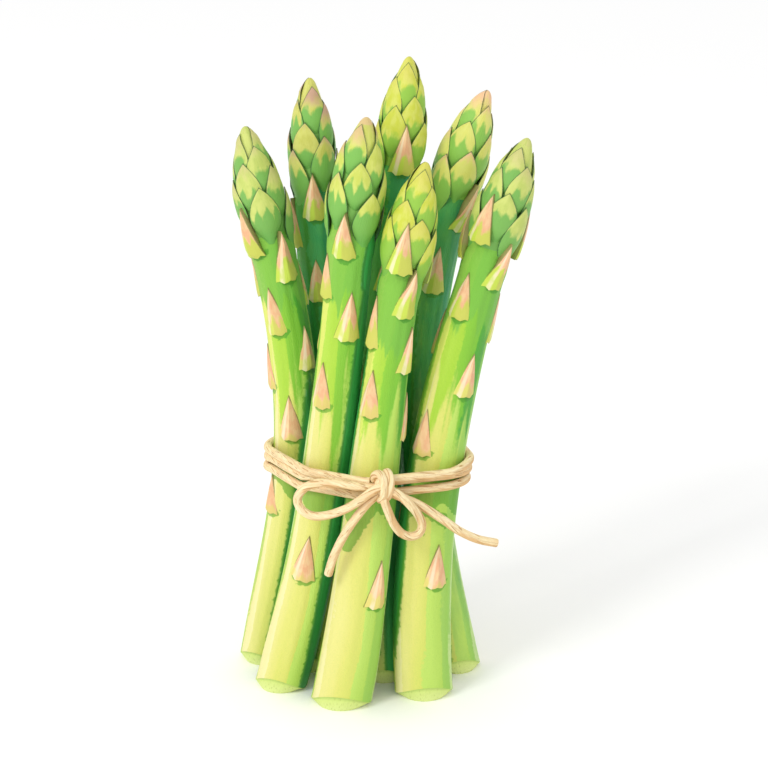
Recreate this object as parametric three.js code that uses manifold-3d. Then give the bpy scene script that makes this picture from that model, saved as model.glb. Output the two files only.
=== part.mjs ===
// A bundle of seven green asparagus spears, standing on their cut butts and tied round the waist with twine.
// Millimetres, +Z up. The bow faces -Y. The origin is under the middle of the bundle's box, on the ground.
import * as THREE from 'three';
import { mergeVertices } from 'three/addons/utils/BufferGeometryUtils.js';
import Module from 'manifold-3d';

const manifold = await Module();
manifold.setup();

// ---------------------------------------------------------------- driving dimensions

const SHIN_HEIGHT = 40; // the heights at which every axis is set: ground, shin, waist, neck and tip
const WAIST_HEIGHT = 84;
const HEAD_LENGTH = 44; // neck to tip
const MIDDLE = new THREE.Vector2(-0.7, 3.8); // middle of the bundle's box, in the coordinates used below

// axis: [x, y] at the ground, shin, waist, neck and tip. radii: foot, waist, neck, widest part of the head.
// scales: height of the top one, gap to the next one down, growth of each further gap,
// turn from one to the next in degrees, and the angle of the top one (0 = front, 90 = right).
const SPEARS = [
  {
    name: 'spear_1', height: 199.5, radii: [8.5, 7.8, 7.4, 9.6],
    axis: [[-43.5, 21.5], [-36, 16.5], [-30.5, 13.5], [-37.5, 13], [-46.5, 14]],
    scales: { top: 157.5, gap: 4.84, growth: 1.068, turn: -140.6, angle: -45 },
  },
  {
    name: 'spear_2', height: 212.5, radii: [8.2, 7.8, 7.4, 9],
    axis: [[-25, 15], [-19, 20.5], [-18.5, 24.5], [-23.5, 27.5], [-25, 28.5]],
    scales: { top: 165.5, gap: 5.03, growth: 1.071, turn: 141.8, angle: 3 },
  },
  {
    name: 'spear_3', height: 207.5, radii: [9.3, 8.1, 7.6, 10.3],
    axis: [[-36.5, -0.5], [-27, -1.5], [-19.5, -2.5], [-11, -4], [-5.5, -4.5]],
    scales: { top: 161.6, gap: 4.6, growth: 1.105, turn: -138.2, angle: -19 },
  },
  {
    name: 'spear_4', height: 222.5, radii: [8.3, 7.9, 7.4, 9.2],
    axis: [[0, 6.5], [-1.5, 8.5], [-2, 11], [4, 15.5], [8.5, 17.5]],
    scales: { top: 185, gap: 6.92, growth: 1.092, turn: -145.4, angle: 8 },
  },
  {
    name: 'spear_5', height: 193.5, radii: [10.7, 8.3, 6.9, 9.5],
    axis: [[-15, -13], [-8.5, -11.5], [-3.5, -10], [5, -9], [14, -9]],
    scales: { top: 158.2, gap: 4.73, growth: 1.085, turn: 132.1, angle: -13 },
  },
  {
    name: 'spear_6', height: 210, radii: [8.7, 8, 7.4, 9.8],
    axis: [[26, 14.5], [18, 15.8], [12.9, 18.8], [20.8, 21.6], [35, 21]],
    scales: { top: 169.8, gap: 5.74, growth: 1.143, turn: -133.3, angle: 178 },
  },
  {
    name: 'spear_7', height: 199.5, radii: [10.2, 9.4, 7.7, 9.9],
    axis: [[14, -6], [13.5, -4.5], [17.5, -3], [33.5, -1.5], [47.5, -1]],
    scales: { top: 165, gap: 4.07, growth: 1.129, turn: 143.4, angle: -36 },
  },
];

const STEM_SIDES = 12;
const STEM_RINGS = [15, SHIN_HEIGHT, 62, WAIST_HEIGHT, 122]; // heights of the rings between foot and neck
const BUD_RINGS = [0.12, 0.34, 0.6, 0.84]; // the bud's rings, as shares of the head's length
const HEAD_OUTLINE = [ // [share of the head's length, share of its widest radius]
  [0, 0.86], [0.12, 0.97], [0.3, 1], [0.5, 0.93], [0.7, 0.72], [0.85, 0.47], [0.95, 0.26], [1, 0.06],
];
const CORE_SHARE = 0.68; // radius of the bud that the head's bracts stand on, as a share of the outline

const SOLE_INSET = 2.4; // the butt is trimmed: a flat sole, with a cut that climbs the front of the stem
const TRIM_HEIGHT = 5.4;
const RIM_HEIGHT = 0.8;

const SCALE = { length: 15.5, shortest: 9, width: 10.2, lift: 1.5, root: 2.2, lowest: 38.5 };
const BRACTS = { // length and width from the lowest one to the topmost
  count: 14, overlap: 3, turn: 137.5, length: [20, 17.5], width: [9, 8.6], lift: 0.9, bare: 0.8,
};
// [share of the length, share of the half width, ridge height, edge height]; the last one is the point.
const SCALE_ROWS = [[0, 1, 1, -0.15], [0.5, 0.66, 0.85, -0.1], [1, 0, 0.35, 0.3]];
const BRACT_ROWS = [[0, 0.5, 0.05, -0.3], [0.3, 0.95, 0.8, 0.4], [0.7, 0.7, 1.04, 0.9], [1, 0, 0.96, 0.95]];

const TWINE_RADIUS = 1.5;
const STRAND_SAMPLES = 60;
const STRAND_STEPS = 42;
const TWINE_GAP = 0.35; // between the twine and the stems
const TIE = { height: 82.6, front: 0.9, right: 1.2 }; // its middle, and its rise in front and on the right
const STRANDS = [ // heights in the band at the back and in front, and its reach over its neighbour there
  { apart: -3.6, pinched: -3, over: 0 },
  { apart: 0, pinched: 1.1, over: 0 },
  { apart: 3.6, pinched: 2.7, over: 2.65 },
];
const PINCH_SPREAD = 52; // degrees round the front over which the strands draw together
const TIE_CLEARANCE = 8; // no scale lies this close under the tie

// The knot and the bow, by hand: every cord of the bow starts inside the knot.
const KNOT = { centre: [-0.3, -24.6, 85], radii: [3, 2.6, 4.4], cord: 1.45 };
const KNOT_CORDS = [
  [[-3.2, -22.8, 86.8], [-3, -23.9, 88.9], [-1.6, -25.3, 89.9], [-0.3, -26.7, 88.5], [0, -27.5, 86],
    [0, -27.4, 83.4], [-0.7, -26.3, 81.4], [-1.6, -24.6, 80.6]],
  [[0.6, -23.2, 89.6], [1.3, -24.7, 90.1], [2.1, -25.7, 88.2], [2.1, -26.4, 86], [1.7, -26.5, 83.6],
    [0.9, -25.5, 81.4]],
];
const BOW = [
  { // left loop: the lower limb leaves in front, and the upper one comes back behind it
    steps: 18,
    route: [
      [0.4, -26.6, 86.2], [-1.9, -27.1, 85.6], [-4.4, -27.2, 84.1], [-8, -26.7, 81], [-13.8, -25.4, 76.9],
      [-20.9, -23.5, 74], [-25, -22.3, 73.9], [-28.2, -21, 75.9], [-29.2, -20.2, 79], [-26.6, -20.5, 83],
      [-22.8, -21.5, 85], [-18.1, -22.9, 85.9], [-13.1, -23.8, 85.6], [-8.7, -24.1, 84.9],
      [-4.6, -23.9, 84.6], [-1.6, -23.4, 84.6],
    ],
  },
  { // left tail
    steps: 10,
    route: [
      [-0.6, -24.4, 83.8], [-2.5, -24.9, 82.2], [-6, -25, 78.6], [-8.7, -24.6, 74.9], [-11.1, -24, 71.1],
      [-14.5, -23, 64.7], [-17.1, -21.8, 58.3], [-19, -20.5, 51.2],
    ],
  },
  { // right loop: down its outer side and back up to the foot of the knot
    steps: 15,
    route: [
      [-0.2, -24.6, 84.8], [2.2, -25.4, 84.1], [4.9, -25.8, 82.7], [8.4, -25.2, 79.1], [11.7, -23.9, 74.2],
      [12.8, -22.9, 70.2], [11.6, -22.5, 67.1], [9, -22.8, 66.3], [6.2, -23.7, 67.6], [3.4, -25.1, 71.6],
      [1.3, -26.4, 77.1], [0.2, -26.9, 80.6], [-0.2, -26.6, 82.6],
    ],
  },
  { // right tail: behind the right loop and out past the bundle
    steps: 11,
    route: [
      [-0.6, -22.9, 83], [3, -22, 81.4], [7, -21.4, 79.5], [11.1, -20.9, 77.4], [15.5, -20.3, 74.4],
      [20.6, -19.7, 70.6], [25.8, -18.8, 66.4], [31.9, -17.5, 63], [38.5, -16, 60.9],
    ],
  },
];

const STEM_GREEN = new THREE.MeshStandardMaterial({ color: 0xa3cf4a, roughness: 0.5, metalness: 0 });
const TWINE_CREAM = new THREE.MeshStandardMaterial({ color: 0xe9cf9c, roughness: 0.9, metalness: 0 });

// ---------------------------------------------------------------- helpers

const radians = THREE.MathUtils.degToRad;
const mix = THREE.MathUtils.lerp;

/** Straight-line interpolation in a list of [position, value] stops. */
function interpolate(stops, at) {
  const next = stops.findIndex(([position]) => position >= at);
  if (next === 0) return stops[0][1];
  if (next < 0) return stops[stops.length - 1][1];
  const [from, to] = [stops[next - 1], stops[next]];
  return mix(from[1], to[1], (at - from[0]) / (to[0] - from[0]));
}

/** A repeatable draw between -1 and 1 for each whole number. */
function draw(seed) {
  const noise = Math.sin(seed * 12.9898 + 78.233) * 43758.5453;
  return (noise - Math.floor(noise)) * 2 - 1;
}

/** A closed skin over rings of points with equal counts, each end closed by a fan to a point. */
function loft(rings, firstPoint, lastPoint) {
  const sides = rings[0].length;
  const points = [...rings.flat(), firstPoint, lastPoint];
  const [first, last] = [points.length - 2, points.length - 1];
  const index = [];
  for (let side = 0; side < sides; side += 1) {
    const next = (side + 1) % sides;
    index.push(first, next, side);
    for (let ring = 0; ring < rings.length - 1; ring += 1) {
      const [a, b] = [ring * sides + side, ring * sides + next];
      index.push(a, b, b + sides, a, b + sides, a + sides);
    }
    const top = (rings.length - 1) * sides;
    index.push(last, top + side, top + next);
  }
  const geometry = new THREE.BufferGeometry();
  geometry.setAttribute('position', new THREE.Float32BufferAttribute(points.flatMap((p) => p.toArray()), 3));
  geometry.setIndex(index);
  return geometry;
}

/** Joins closed geometries into one body and keeps its outer skin, so that hollows this seals are filled. */
function fuse(geometries) {
  const solids = geometries.map((geometry) => {
    const bare = geometry.clone();
    bare.deleteAttribute('normal');
    bare.deleteAttribute('uv');
    const merged = mergeVertices(bare, 1e-4);
    const vertProperties = new Float32Array(merged.attributes.position.array);
    const triVerts = new Uint32Array(merged.index.array);
    return new manifold.Manifold(new manifold.Mesh({ numProp: 3, vertProperties, triVerts }));
  });
  const skins = solids.reduce((body, solid) => body.add(solid)).decompose();
  const joined = skins.reduce((outer, skin) => (skin.volume() > outer.volume() ? skin : outer)).getMesh();
  const geometry = new THREE.BufferGeometry();
  geometry.setAttribute('position', new THREE.BufferAttribute(new Float32Array(joined.vertProperties), 3));
  geometry.setIndex(new THREE.BufferAttribute(new Uint32Array(joined.triVerts), 1));
  return geometry;
}

// ---------------------------------------------------------------- spears

const neckHeight = (spear) => spear.height - HEAD_LENGTH;

/** Where a spear's axis passes a height: the smooth curve through its five set points. */
function axisAt(spear, height) {
  const levels = [0, SHIN_HEIGHT, WAIST_HEIGHT, neckHeight(spear), spear.height];
  const point = new THREE.Vector2();
  spear.axis.forEach(([x, y], own) => {
    const others = levels.filter((level, i) => i !== own);
    const share = others.reduce((product, level) => product * (height - level) / (levels[own] - level), 1);
    point.x += share * x;
    point.y += share * y;
  });
  return point;
}

/** Radius out to the stem's skin, or to the tops of the head's bracts. */
function outlineRadius(spear, height) {
  const [foot, waist, neck, head] = spear.radii;
  if (height <= neckHeight(spear)) {
    return interpolate([[0, foot], [WAIST_HEIGHT, waist], [neckHeight(spear), neck]], height);
  }
  return head * interpolate(HEAD_OUTLINE, (height - neckHeight(spear)) / HEAD_LENGTH);
}

/** Radius of the stem, or of the bud inside the head's bracts: it fills the outline again at the tip. */
function coreRadius(spear, height) {
  const rise = THREE.MathUtils.clamp((height - neckHeight(spear)) / 6, 0, 1);
  const depth = rise * THREE.MathUtils.clamp((spear.height - height) / 10, 0, 1);
  return outlineRadius(spear, height) * mix(1, CORE_SHARE, depth);
}

/** A point of a spear: height up its axis, angle round it and reach out from it, square to the axis. */
function place(spear, height, angle, reach) {
  const centre = axisAt(spear, height);
  const lean = axisAt(spear, height + 0.5).sub(axisAt(spear, height - 0.5));
  lean.multiplyScalar(THREE.MathUtils.clamp(height / 30, 0, 1)); // the foot's rings lie level
  const along = new THREE.Vector3(lean.x, lean.y, 1).normalize();
  const right = new THREE.Vector3(1, 0, 0).addScaledVector(along, -along.x).normalize();
  const back = new THREE.Vector3().crossVectors(along, right);
  return new THREE.Vector3(centre.x, centre.y, height)
    .addScaledVector(right, reach * Math.sin(angle))
    .addScaledVector(back, -reach * Math.cos(angle));
}

/** The stem and the bud in one skin, with the trimmed butt. */
function stemGeometry(spear) {
  const foot = spear.radii[0];
  const neck = neckHeight(spear);
  const facing = radians(0.6 * spear.axis[0][0]);
  const angles = Array.from({ length: STEM_SIDES }, (_, i) => (i * 2 * Math.PI) / STEM_SIDES);
  const ring = (height, radius) => angles.map((angle) => place(spear, height, angle, radius));
  const rim = angles.map((angle) => {
    const height = RIM_HEIGHT + TRIM_HEIGHT * Math.max(0, Math.cos(angle - facing)) ** 1.4;
    return place(spear, height, angle, coreRadius(spear, height));
  });
  const heights = [...STEM_RINGS, neck, ...BUD_RINGS.map((share) => neck + share * HEAD_LENGTH)];
  const rings = heights.map((height) => ring(height, coreRadius(spear, height)));
  const tip = place(spear, spear.height - 0.5, 0, 0);
  return loft([ring(0, foot - SOLE_INSET), rim, ...rings], place(spear, 0, 0, 0), tip);
}

/** A pointed blade up the spear, three-cornered: it stands on the seat, with its root sunk in the flesh. */
function bladeGeometry(spear, { base, angle, length, width, seat, lift, rows }) {
  const sections = rows.map(([along, half, ridge, edge]) => {
    const height = Math.min(base + along * length, spear.height);
    const radius = seat(spear, height);
    const wrap = (half * width) / 2 / Math.max(radius, width / 2);
    const edgeReach = radius + edge * lift(height);
    return [
      place(spear, height, angle - wrap, edgeReach),
      place(spear, height, angle, radius + ridge * lift(height)),
      place(spear, height, angle + wrap, edgeReach),
      place(spear, height, angle, Math.max(coreRadius(spear, height) - SCALE.root, 0.1)),
    ];
  });
  const point = sections.pop()[1];
  const [, ridge, , root] = sections[0];
  return loft(sections, ridge.clone().lerp(root, 0.5), point);
}

/** True where a point of one spear keeps clear of all the others and of their scales. */
function isClear(spear, point) {
  return SPEARS.every((other) => {
    if (other === spear || point.z > other.height) return true;
    const distance = axisAt(other, point.z).distanceTo(new THREE.Vector2(point.x, point.y));
    return distance > outlineRadius(other, point.z) + SCALE.lift + TWINE_GAP;
  });
}

/** The scales of the stem: they wind down from the neck with ever longer gaps, where there is room. */
function scaleGeometries(spear, seed) {
  const blades = [];
  let { top: base, gap } = spear.scales;
  for (let count = 0; base > SCALE.lowest; count += 1) {
    const angle = radians(spear.scales.angle + count * spear.scales.turn + 4 * draw(seed + count));
    const room = TIE.height - TIE_CLEARANCE - base; // the tie keeps the scales below it short
    const full = SCALE.length * (1 + 0.08 * draw(seed + count + 100));
    const length = room > SCALE.shortest ? Math.min(full, room) : full;
    const underTie = room <= SCALE.shortest && base < TIE.height + TIE_CLEARANCE - 1;
    const corners = [[0.1, 0], [0.5, 0], [1, 0], [0.1, -0.5], [0.1, 0.5]].map(([along, side]) => {
      const height = base + along * length;
      const radius = outlineRadius(spear, height);
      return place(spear, height, angle + (side * SCALE.width) / radius, radius + (side ? 0.2 : SCALE.lift));
    });
    if (!underTie && corners.every((corner) => isClear(spear, corner))) {
      const form = { width: SCALE.width, seat: outlineRadius, lift: () => SCALE.lift, rows: SCALE_ROWS };
      blades.push(bladeGeometry(spear, { base, angle, length, ...form }));
    }
    base -= gap;
    gap *= spear.scales.growth;
  }
  return blades;
}

/** The bracts of the head: from the neck, or the top scale if it is lower, they wind on up to the tip. */
function bractGeometries(spear, seed) {
  const { top, angle, turn } = spear.scales;
  const first = Math.min(top, neckHeight(spear) + 2) - BRACTS.overlap;
  const room = spear.height - BRACTS.bare - BRACTS.length[1] - first;
  const lift = (height) => {
    const depth = outlineRadius(spear, height) - coreRadius(spear, height);
    return Math.max(depth, Math.min(BRACTS.lift, 0.3 * (spear.height - height)));
  };
  return Array.from({ length: BRACTS.count }, (_, i) => {
    const share = (i + 1) / BRACTS.count;
    return bladeGeometry(spear, {
      base: first + room * share,
      angle: radians(angle - (i + 1) * Math.sign(turn) * BRACTS.turn),
      length: mix(...BRACTS.length, share) * (1 + 0.06 * draw(seed + i + 200)),
      width: mix(...BRACTS.width, share) * (1 + 0.06 * draw(seed + i + 300)),
      seat: coreRadius,
      lift,
      rows: BRACT_ROWS,
    });
  });
}

function makeSpear(spear, number) {
  const seed = (number + 1) * 1000;
  const blades = [...scaleGeometries(spear, seed), ...bractGeometries(spear, seed)];
  const mesh = new THREE.Mesh(fuse([stemGeometry(spear), ...blades]), STEM_GREEN);
  mesh.name = spear.name;
  return mesh;
}

// ---------------------------------------------------------------- twine

/** A round cord along a curve through the given points. */
function cord(points, steps, radius = TWINE_RADIUS) {
  const section = new THREE.Shape().absarc(0, 0, radius, 0, 2 * Math.PI);
  const extrudePath = new THREE.CatmullRomCurve3(points, false, 'centripetal');
  return new THREE.ExtrudeGeometry(section, { steps, curveSegments: 4, bevelEnabled: false, extrudePath });
}

/** One strand's point, at an angle round the bundle: it is stretched over the outermost spears. */
function strandPoint(angle, { apart, pinched, over }) {
  const pinch = Math.exp(-((Math.min(angle, 2 * Math.PI - angle) / radians(PINCH_SPREAD)) ** 2));
  const middle = TIE.height + TIE.front * Math.cos(angle) + TIE.right * Math.sin(angle);
  const height = middle + mix(apart, pinched, pinch);
  const out = TWINE_RADIUS + TWINE_GAP + over * pinch;
  const direction = new THREE.Vector2(Math.sin(angle), -Math.cos(angle));
  const supports = SPEARS.map((spear) => {
    const axis = axisAt(spear, height);
    const radius = outlineRadius(spear, height);
    return { depth: axis.dot(direction) + radius, point: axis.addScaledVector(direction, radius + out) };
  });
  const { point } = supports.reduce((best, support) => (support.depth > best.depth ? support : best));
  return new THREE.Vector3(point.x, point.y, height);
}

function makeTwine() {
  const points = (route) => route.map((point) => new THREE.Vector3(...point));
  const strands = STRANDS.map((strand) => {
    const angles = Array.from({ length: STRAND_SAMPLES }, (_, i) => (i * 2 * Math.PI) / STRAND_SAMPLES);
    return cord(angles.map((angle) => strandPoint(angle, strand)), STRAND_STEPS);
  });
  const core = new THREE.SphereGeometry(1, 10, 6).scale(...KNOT.radii).translate(...KNOT.centre);
  const knot = KNOT_CORDS.map((route) => cord(points(route), 8, KNOT.cord));
  const bow = BOW.map(({ route, steps }) => cord(points(route), steps));
  const mesh = new THREE.Mesh(fuse([...strands, core, ...knot, ...bow]), TWINE_CREAM);
  mesh.name = 'twine';
  return mesh;
}

// ---------------------------------------------------------------- assembly

const bundle = new THREE.Group();
bundle.add(...SPEARS.map(makeSpear), makeTwine());
bundle.position.set(-MIDDLE.x, -MIDDLE.y, 0);

export default bundle;
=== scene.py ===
"""A bundle of seven green asparagus spears tied with twine: the visual pieces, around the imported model."""
import math

import bpy
import numpy as np
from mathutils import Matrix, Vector


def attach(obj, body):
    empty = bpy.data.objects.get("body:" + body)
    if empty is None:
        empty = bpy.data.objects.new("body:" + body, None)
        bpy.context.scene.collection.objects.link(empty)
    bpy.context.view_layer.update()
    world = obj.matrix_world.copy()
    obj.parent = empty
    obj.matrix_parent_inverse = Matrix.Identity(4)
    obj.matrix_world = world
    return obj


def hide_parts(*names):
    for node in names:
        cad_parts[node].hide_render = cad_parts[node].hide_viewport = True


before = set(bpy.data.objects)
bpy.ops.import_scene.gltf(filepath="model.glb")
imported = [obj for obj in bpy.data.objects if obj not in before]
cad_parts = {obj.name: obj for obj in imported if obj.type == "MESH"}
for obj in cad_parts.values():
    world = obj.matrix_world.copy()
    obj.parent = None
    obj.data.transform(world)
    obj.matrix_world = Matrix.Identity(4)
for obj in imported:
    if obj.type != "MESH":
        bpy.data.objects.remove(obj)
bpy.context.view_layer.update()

# ---------------------------------------------------------------- dimensions in mm, as in the part's source

MM = 0.001
SHIN_HEIGHT = 40
WAIST_HEIGHT = 84
HEAD_LENGTH = 44
MIDDLE = np.array([-0.7, 3.8, 0])

# axis: [x, y] at the ground, shin, waist, neck and tip. radii: foot, waist, neck, widest part of the head.
# scales: height of the top one, gap to the next one down, growth of each further gap,
# turn from one to the next in degrees, and the angle of the top one (0 = front, 90 = right).
# gloom: how much painted shade darkens the front of the stem, where the spears in front shade it. palette:
# the colours of the head.
SPEARS = {
    "spear_1": dict(
        height=199.5, radii=[8.5, 7.8, 7.4, 9.6],
        axis=[[-43.5, 21.5], [-36, 16.5], [-30.5, 13.5], [-37.5, 13], [-46.5, 14]],
        scales=dict(top=157.5, gap=4.84, growth=1.068, turn=-140.6, angle=-45), inner_shade=0.1, palette="green"),
    "spear_2": dict(
        height=212.5, radii=[8.2, 7.8, 7.4, 9],
        axis=[[-25, 15], [-19, 20.5], [-18.5, 24.5], [-23.5, 27.5], [-25, 28.5]],
        scales=dict(top=165.5, gap=5.03, growth=1.071, turn=141.8, angle=3), inner_shade=0.7, palette="mauve"),
    "spear_3": dict(
        height=207.5, radii=[9.3, 8.1, 7.6, 10.3],
        axis=[[-36.5, -0.5], [-27, -1.5], [-19.5, -2.5], [-11, -4], [-5.5, -4.5]],
        scales=dict(top=161.6, gap=4.6, growth=1.105, turn=-138.2, angle=-19), inner_shade=0, palette="olive"),
    "spear_4": dict(
        height=222.5, radii=[8.3, 7.9, 7.4, 9.2],
        axis=[[0, 6.5], [-1.5, 8.5], [-2, 11], [4, 15.5], [8.5, 17.5]],
        scales=dict(top=185, gap=6.92, growth=1.092, turn=-145.4, angle=8), inner_shade=0.8, palette="yellow"),
    "spear_5": dict(
        height=193.5, radii=[10.7, 8.3, 6.9, 9.5],
        axis=[[-15, -13], [-8.5, -11.5], [-3.5, -10], [5, -9], [14, -9]],
        scales=dict(top=158.2, gap=4.73, growth=1.085, turn=132.1, angle=-13), inner_shade=0, palette="yellow"),
    "spear_6": dict(
        height=210, radii=[8.7, 8, 7.4, 9.8],
        axis=[[26, 14.5], [18, 15.8], [12.9, 18.8], [20.8, 21.6], [35, 21]],
        scales=dict(top=169.8, gap=5.74, growth=1.143, turn=-133.3, angle=178), inner_shade=0.62, palette="peach"),
    "spear_7": dict(
        height=199.5, radii=[10.2, 9.4, 7.7, 9.9],
        axis=[[14, -6], [13.5, -4.5], [17.5, -3], [33.5, -1.5], [47.5, -1]],
        scales=dict(top=165, gap=4.07, growth=1.129, turn=143.4, angle=-36), inner_shade=0, palette="green"),
}
HEAD_OUTLINE = [  # [share of the head's length, share of its widest radius]
    [0, 0.86], [0.12, 0.97], [0.3, 1], [0.5, 0.93], [0.7, 0.72], [0.85, 0.47], [0.95, 0.26], [1, 0.06],
]
CORE_SHARE = 0.68  # radius of the bud inside the bracts, as a share of the head's outline
CORE_RISE = 6  # the stem narrows to the bud over this height above the neck
CORE_FALL = 10  # and the bud fills the outline again over this height below the tip
LEAN_RISE = 30  # sections are level at the ground, and square to the axis from this height
SOLE_INSET = 2.4  # from the foot's edge in to the flat sole
RIM_HEIGHT = 0.8  # where the skin begins at the back
TRIM_HEIGHT = 5.4  # how much higher it begins in front, where the cut slants up
TRIM_POWER = 1.4

# shortest: length that the tie may leave of a scale. lift: how far a blade stands off. lowest: of the bases.
# overlap: of the lowest bract and the stem. length, width: of the lowest and topmost bract. bare: above it.
SCALE = dict(length=15.5, shortest=9, width=10.2, lift=1.5, lowest=38.5)
BRACTS = dict(count=14, overlap=3, turn=137.5, length=[20, 17.5], width=[9, 8.6], lift=0.9, bare=0.8)

TWINE_RADIUS = 1.5
TWINE_GAP = 0.35
TIE = dict(height=82.6, front=0.9, right=1.2)  # its height, and how far it rises in front and on the right
STRANDS = [  # heights in the band at the back and in front, and how far it lies over its neighbour in front
    dict(apart=-3.6, pinched=-3, over=0),
    dict(apart=0, pinched=1.1, over=0),
    dict(apart=3.6, pinched=2.7, over=2.65),
]
PINCH_SPREAD = 52  # degrees to each side of the knot over which the strands draw together
STRAND_STEPS = 60
TIE_CLEARANCE = 8  # between the tie and the nearest scales

KNOT = dict(centre=[-0.3, -24.6, 85], radii=[3, 2.6, 4.4], cord=1.45)
KNOT_CORDS = [
    [[-3.2, -22.8, 86.8], [-3, -23.9, 88.9], [-1.6, -25.3, 89.9], [-0.3, -26.7, 88.5], [0, -27.5, 86],
     [0, -27.4, 83.4], [-0.7, -26.3, 81.4], [-1.6, -24.6, 80.6]],
    [[0.6, -23.2, 89.6], [1.3, -24.7, 90.1], [2.1, -25.7, 88.2], [2.1, -26.4, 86], [1.7, -26.5, 83.6],
     [0.9, -25.5, 81.4]],
]
LEFT_LOOP = [
    [0.4, -26.6, 86.2], [-1.9, -27.1, 85.6], [-4.4, -27.2, 84.1], [-8, -26.7, 81], [-13.8, -25.4, 76.9],
    [-20.9, -23.5, 74], [-25, -22.3, 73.9], [-28.2, -21, 75.9], [-29.2, -20.2, 79], [-26.6, -20.5, 83],
    [-22.8, -21.5, 85], [-18.1, -22.9, 85.9], [-13.1, -23.8, 85.6], [-8.7, -24.1, 84.9], [-4.6, -23.9, 84.6],
    [-1.6, -23.4, 84.6],
]
LEFT_TAIL = [
    [-0.6, -24.4, 83.8], [-2.5, -24.9, 82.2], [-6, -25, 78.6], [-8.7, -24.6, 74.9], [-11.1, -24, 71.1],
    [-14.5, -23, 64.7], [-17.1, -21.8, 58.3], [-19, -20.5, 51.2],
]
RIGHT_LOOP = [
    [-0.2, -24.6, 84.8], [2.2, -25.4, 84.1], [4.9, -25.8, 82.7], [8.4, -25.2, 79.1], [11.7, -23.9, 74.2],
    [12.8, -22.9, 70.2], [11.6, -22.5, 67.1], [9, -22.8, 66.3], [6.2, -23.7, 67.6], [3.4, -25.1, 71.6],
    [1.3, -26.4, 77.1], [0.2, -26.9, 80.6], [-0.2, -26.6, 82.6],
]
RIGHT_TAIL = [
    [-0.6, -22.9, 83], [3, -22, 81.4], [7, -21.4, 79.5], [11.1, -20.9, 77.4], [15.5, -20.3, 74.4],
    [20.6, -19.7, 70.6], [25.8, -18.8, 66.4], [31.9, -17.5, 63], [38.5, -16, 60.9],
]

# ---------------------------------------------------------------- camera

CAMERA = dict(target=(0.0007, -0.0018, 0.112), elevation=20, distance=0.98, lens=135, sensor=36)


def add_camera():
    data = bpy.data.cameras.new("camera")
    data.lens = CAMERA["lens"]
    data.sensor_width = data.sensor_height = CAMERA["sensor"]
    camera = bpy.data.objects.new("camera", data)
    elevation = math.radians(CAMERA["elevation"])
    offset = Vector((0, -math.cos(elevation), math.sin(elevation))) * CAMERA["distance"]
    camera.location = Vector(CAMERA["target"]) + offset
    camera.rotation_euler = (-offset).to_track_quat("-Z", "Y").to_euler()
    bpy.context.collection.objects.link(camera)
    bpy.context.scene.camera = camera


add_camera()

# ---------------------------------------------------------------- mesh code


class Skin:
    """A mesh that grows by grids of points in mm, each with its material and its facts for the shader."""

    def __init__(self, facts):
        self.points, self.faces, self.slots = [], [], []
        self.facts = {name: [] for name in facts}
        self.count = 0

    def grid(self, points, slot=0, **facts):
        """Rows of points, each row a closed ring. A fact that isn't given is 0."""
        rows, columns = points.shape[:2]
        index = self.count + np.arange(rows * columns).reshape(rows, columns)
        index = np.concatenate([index, index[:, :1]], axis=1)
        corners = [index[:-1, :-1], index[:-1, 1:], index[1:, 1:], index[1:, :-1]]
        quads = np.stack(corners, axis=-1).reshape(-1, 4)
        self.points.append(points.reshape(-1, 3))
        self.faces.extend(quads.tolist())
        self.slots.extend([slot] * len(quads))
        for name, values in self.facts.items():
            values.append(np.broadcast_to(facts.get(name, 0.0), (rows, columns)).reshape(-1))
        self.count += rows * columns

    def build(self, name, materials):
        mesh = bpy.data.meshes.new(name)
        points = (np.concatenate(self.points) - MIDDLE) * MM
        mesh.from_pydata(points.tolist(), [], self.faces)
        for material in materials:
            mesh.materials.append(material)
        mesh.polygons.foreach_set("material_index", np.array(self.slots, dtype=np.int32))
        for fact, values in self.facts.items():
            layer = mesh.attributes.new(fact, "FLOAT", "POINT")
            layer.data.foreach_set("value", np.concatenate(values).astype(np.float32))
        mesh.validate()
        mesh.polygons.foreach_set("use_smooth", [True] * len(mesh.polygons))
        mesh.update()
        piece = bpy.data.objects.new(name, mesh)
        bpy.context.collection.objects.link(piece)
        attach(piece, "root")
        return piece


def draw(seed):
    """A repeatable draw between -1 and 1 for each whole number, as in the part's source."""
    noise = math.sin(seed * 12.9898 + 78.233) * 43758.5453
    return (noise - math.floor(noise)) * 2 - 1


def smooth(values):
    """Smoothstep of values between 0 and 1."""
    values = np.clip(values, 0, 1)
    return values * values * (3 - 2 * values)


# ---------------------------------------------------------------- cords

PLIES = 3
PLY_TWIST = 2 * math.pi / 45  # radians of twist for each mm of twine
PLY_DEPTH = 0.03  # depth of the grooves between the plies, as a share of the radius
PLY_FULLNESS = 0.7  # below 1 the plies are full and the grooves narrow
CUT_RIM = 0.93  # radius of a cut end's rim, as a share of the cord's
CORD_SIDES = 24
CORD_SPACING = 0.4  # between the rings of a cord
WRAP_SPACING = 0.3  # and of the knot's tight wraps
FINE_STEPS = 24  # points worked out on each stretch of a route, before they are spaced evenly
OFF_ROUTE = [0.3, 0.2, 1]  # a direction that no route sets out in
LIT_SIDE = [-0.6, -0.1, 0.8]  # the way that the painted light comes from
CORD_FACTS = ["along", "turn", "lit"]


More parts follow.
